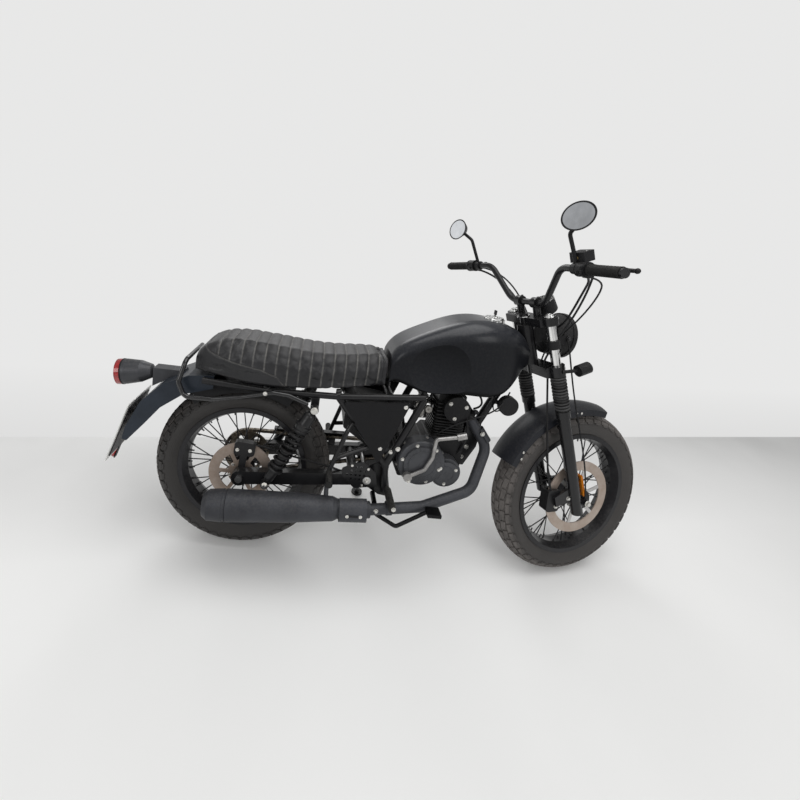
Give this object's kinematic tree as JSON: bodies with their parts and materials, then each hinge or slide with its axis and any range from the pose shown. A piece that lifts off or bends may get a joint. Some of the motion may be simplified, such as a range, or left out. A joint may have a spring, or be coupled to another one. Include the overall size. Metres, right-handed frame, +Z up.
{
  "type": "scrambler motorcycle",
  "caption": "Light scrambler motorcycle with spoked wheels, a flat ribbed seat and an open engine, parked on its side stand.",
  "frame": {"origin": "on the floor, under the middle of the whole motorcycle with its steering turned to the left", "axes": "+X forward, +Y to the rider's left, +Z up; the motorcycle leans to +Y on its side stand"},
  "size_m": [2.0414, 0.848, 1.3947],
  "materials": {
    "amber": "gloss",
    "boot_rubber": "matt",
    "bright_metal": "satin",
    "caliper_black": "satin",
    "case_cover": "satin",
    "chain_steel": "satin",
    "chrome": "polished",
    "clear_lens": "polished",
    "control_black": "satin",
    "cover_black": "satin",
    "disc_steel": "satin",
    "engine_dark": "satin",
    "exhaust_dark": "satin",
    "fender_black": "gloss",
    "fork_grey": "satin",
    "frame_black": "gloss",
    "grip_rubber": "matt",
    "mirror_silver": "polished",
    "plate_white": "satin",
    "red_lens": "gloss",
    "rim_black": "satin",
    "seat_cover": "satin",
    "spoke_steel": "satin",
    "tail_paint": "satin",
    "tank_paint": "gloss",
    "tyre": "matt"
  },
  "bodies": {
    "chassis": {"air_box": "control_black", "carburettor": "bright_metal", "crankcase": "engine_dark", "cylinder": "engine_dark", "cylinder_head": "engine_dark", "drive_chain": "chain_steel", "engine_covers": "case_cover", "foot_controls": "bright_metal", "foot_pegs": "grip_rubber", "fuel_cap": "chrome", "fuel_tank": "tank_paint", "grab_rail": "frame_black", "guards": "frame_black", "header_pipe": "exhaust_dark", "header_shield": "exhaust_dark", "horn": "control_black", "main_frame": "frame_black", "muffler": "exhaust_dark", "number_plate": "plate_white", "plate_carrier": "control_black", "rear_axle": "bright_metal", "rear_caliper": "caliper_black", "rear_fender": "cover_black", "rear_frame_left": "frame_black", "rear_frame_right": "frame_black", "red_lenses": "red_lens", "rubber_pads": "boot_rubber", "seat": "seat_cover", "shocks": "frame_black", "side_covers": "cover_black", "swing_arm": "frame_black", "tail_cowl": "tail_paint", "tail_lamp": "case_cover"},
    "steering": {"fork_clamps": "fork_grey", "fork_tubes": "chrome", "fork_boots": "boot_rubber", "fork_lower_legs": "fork_grey", "front_fender": "fender_black", "front_caliper": "caliper_black", "amber_reflector": "amber", "headlamp": "control_black", "headlamp_lens": "clear_lens", "speedometer": "control_black", "turn_signals": "control_black", "handlebar": "frame_black", "grips": "grip_rubber", "hand_controls": "control_black", "mirror_glasses": "mirror_silver"},
    "front_wheel": {"front_tyre": "tyre", "front_rim": "rim_black", "front_spokes": "spoke_steel", "front_brake_disc": "disc_steel"},
    "rear_wheel": {"rear_tyre": "tyre", "rear_rim": "rim_black", "rear_spokes": "spoke_steel", "rear_brake_disc": "disc_steel", "rear_sprocket": "chain_steel"},
    "side_stand": {"side_stand": "frame_black"}
  },
  "joints": [
    {"name": "steering", "type": "hinge", "parent": "chassis", "child": "steering", "pos_m": [0.42625, -0.04219, 0.86037], "axis": [-0.3575, 0.146, 0.9224], "range_deg": [-48, 20]},
    {"name": "front_wheel_spin", "type": "hinge", "parent": "steering", "child": "front_wheel", "pos_m": [0.70539, -0.11242, 0.31458], "axis": [-0.2261, 0.9448, -0.2372], "continuous": true},
    {"name": "rear_wheel_spin", "type": "hinge", "parent": "chassis", "child": "rear_wheel", "pos_m": [-0.54778, -0.12934, 0.31102], "axis": [-0.0001, 0.9877, -0.1564], "continuous": true},
    {"name": "side_stand_fold", "type": "hinge", "parent": "chassis", "child": "side_stand", "pos_m": [-0.09584, -0.00616, 0.24452], "axis": [0, 0.8919, 0.4523], "range_deg": [0, 95]}
  ]
}
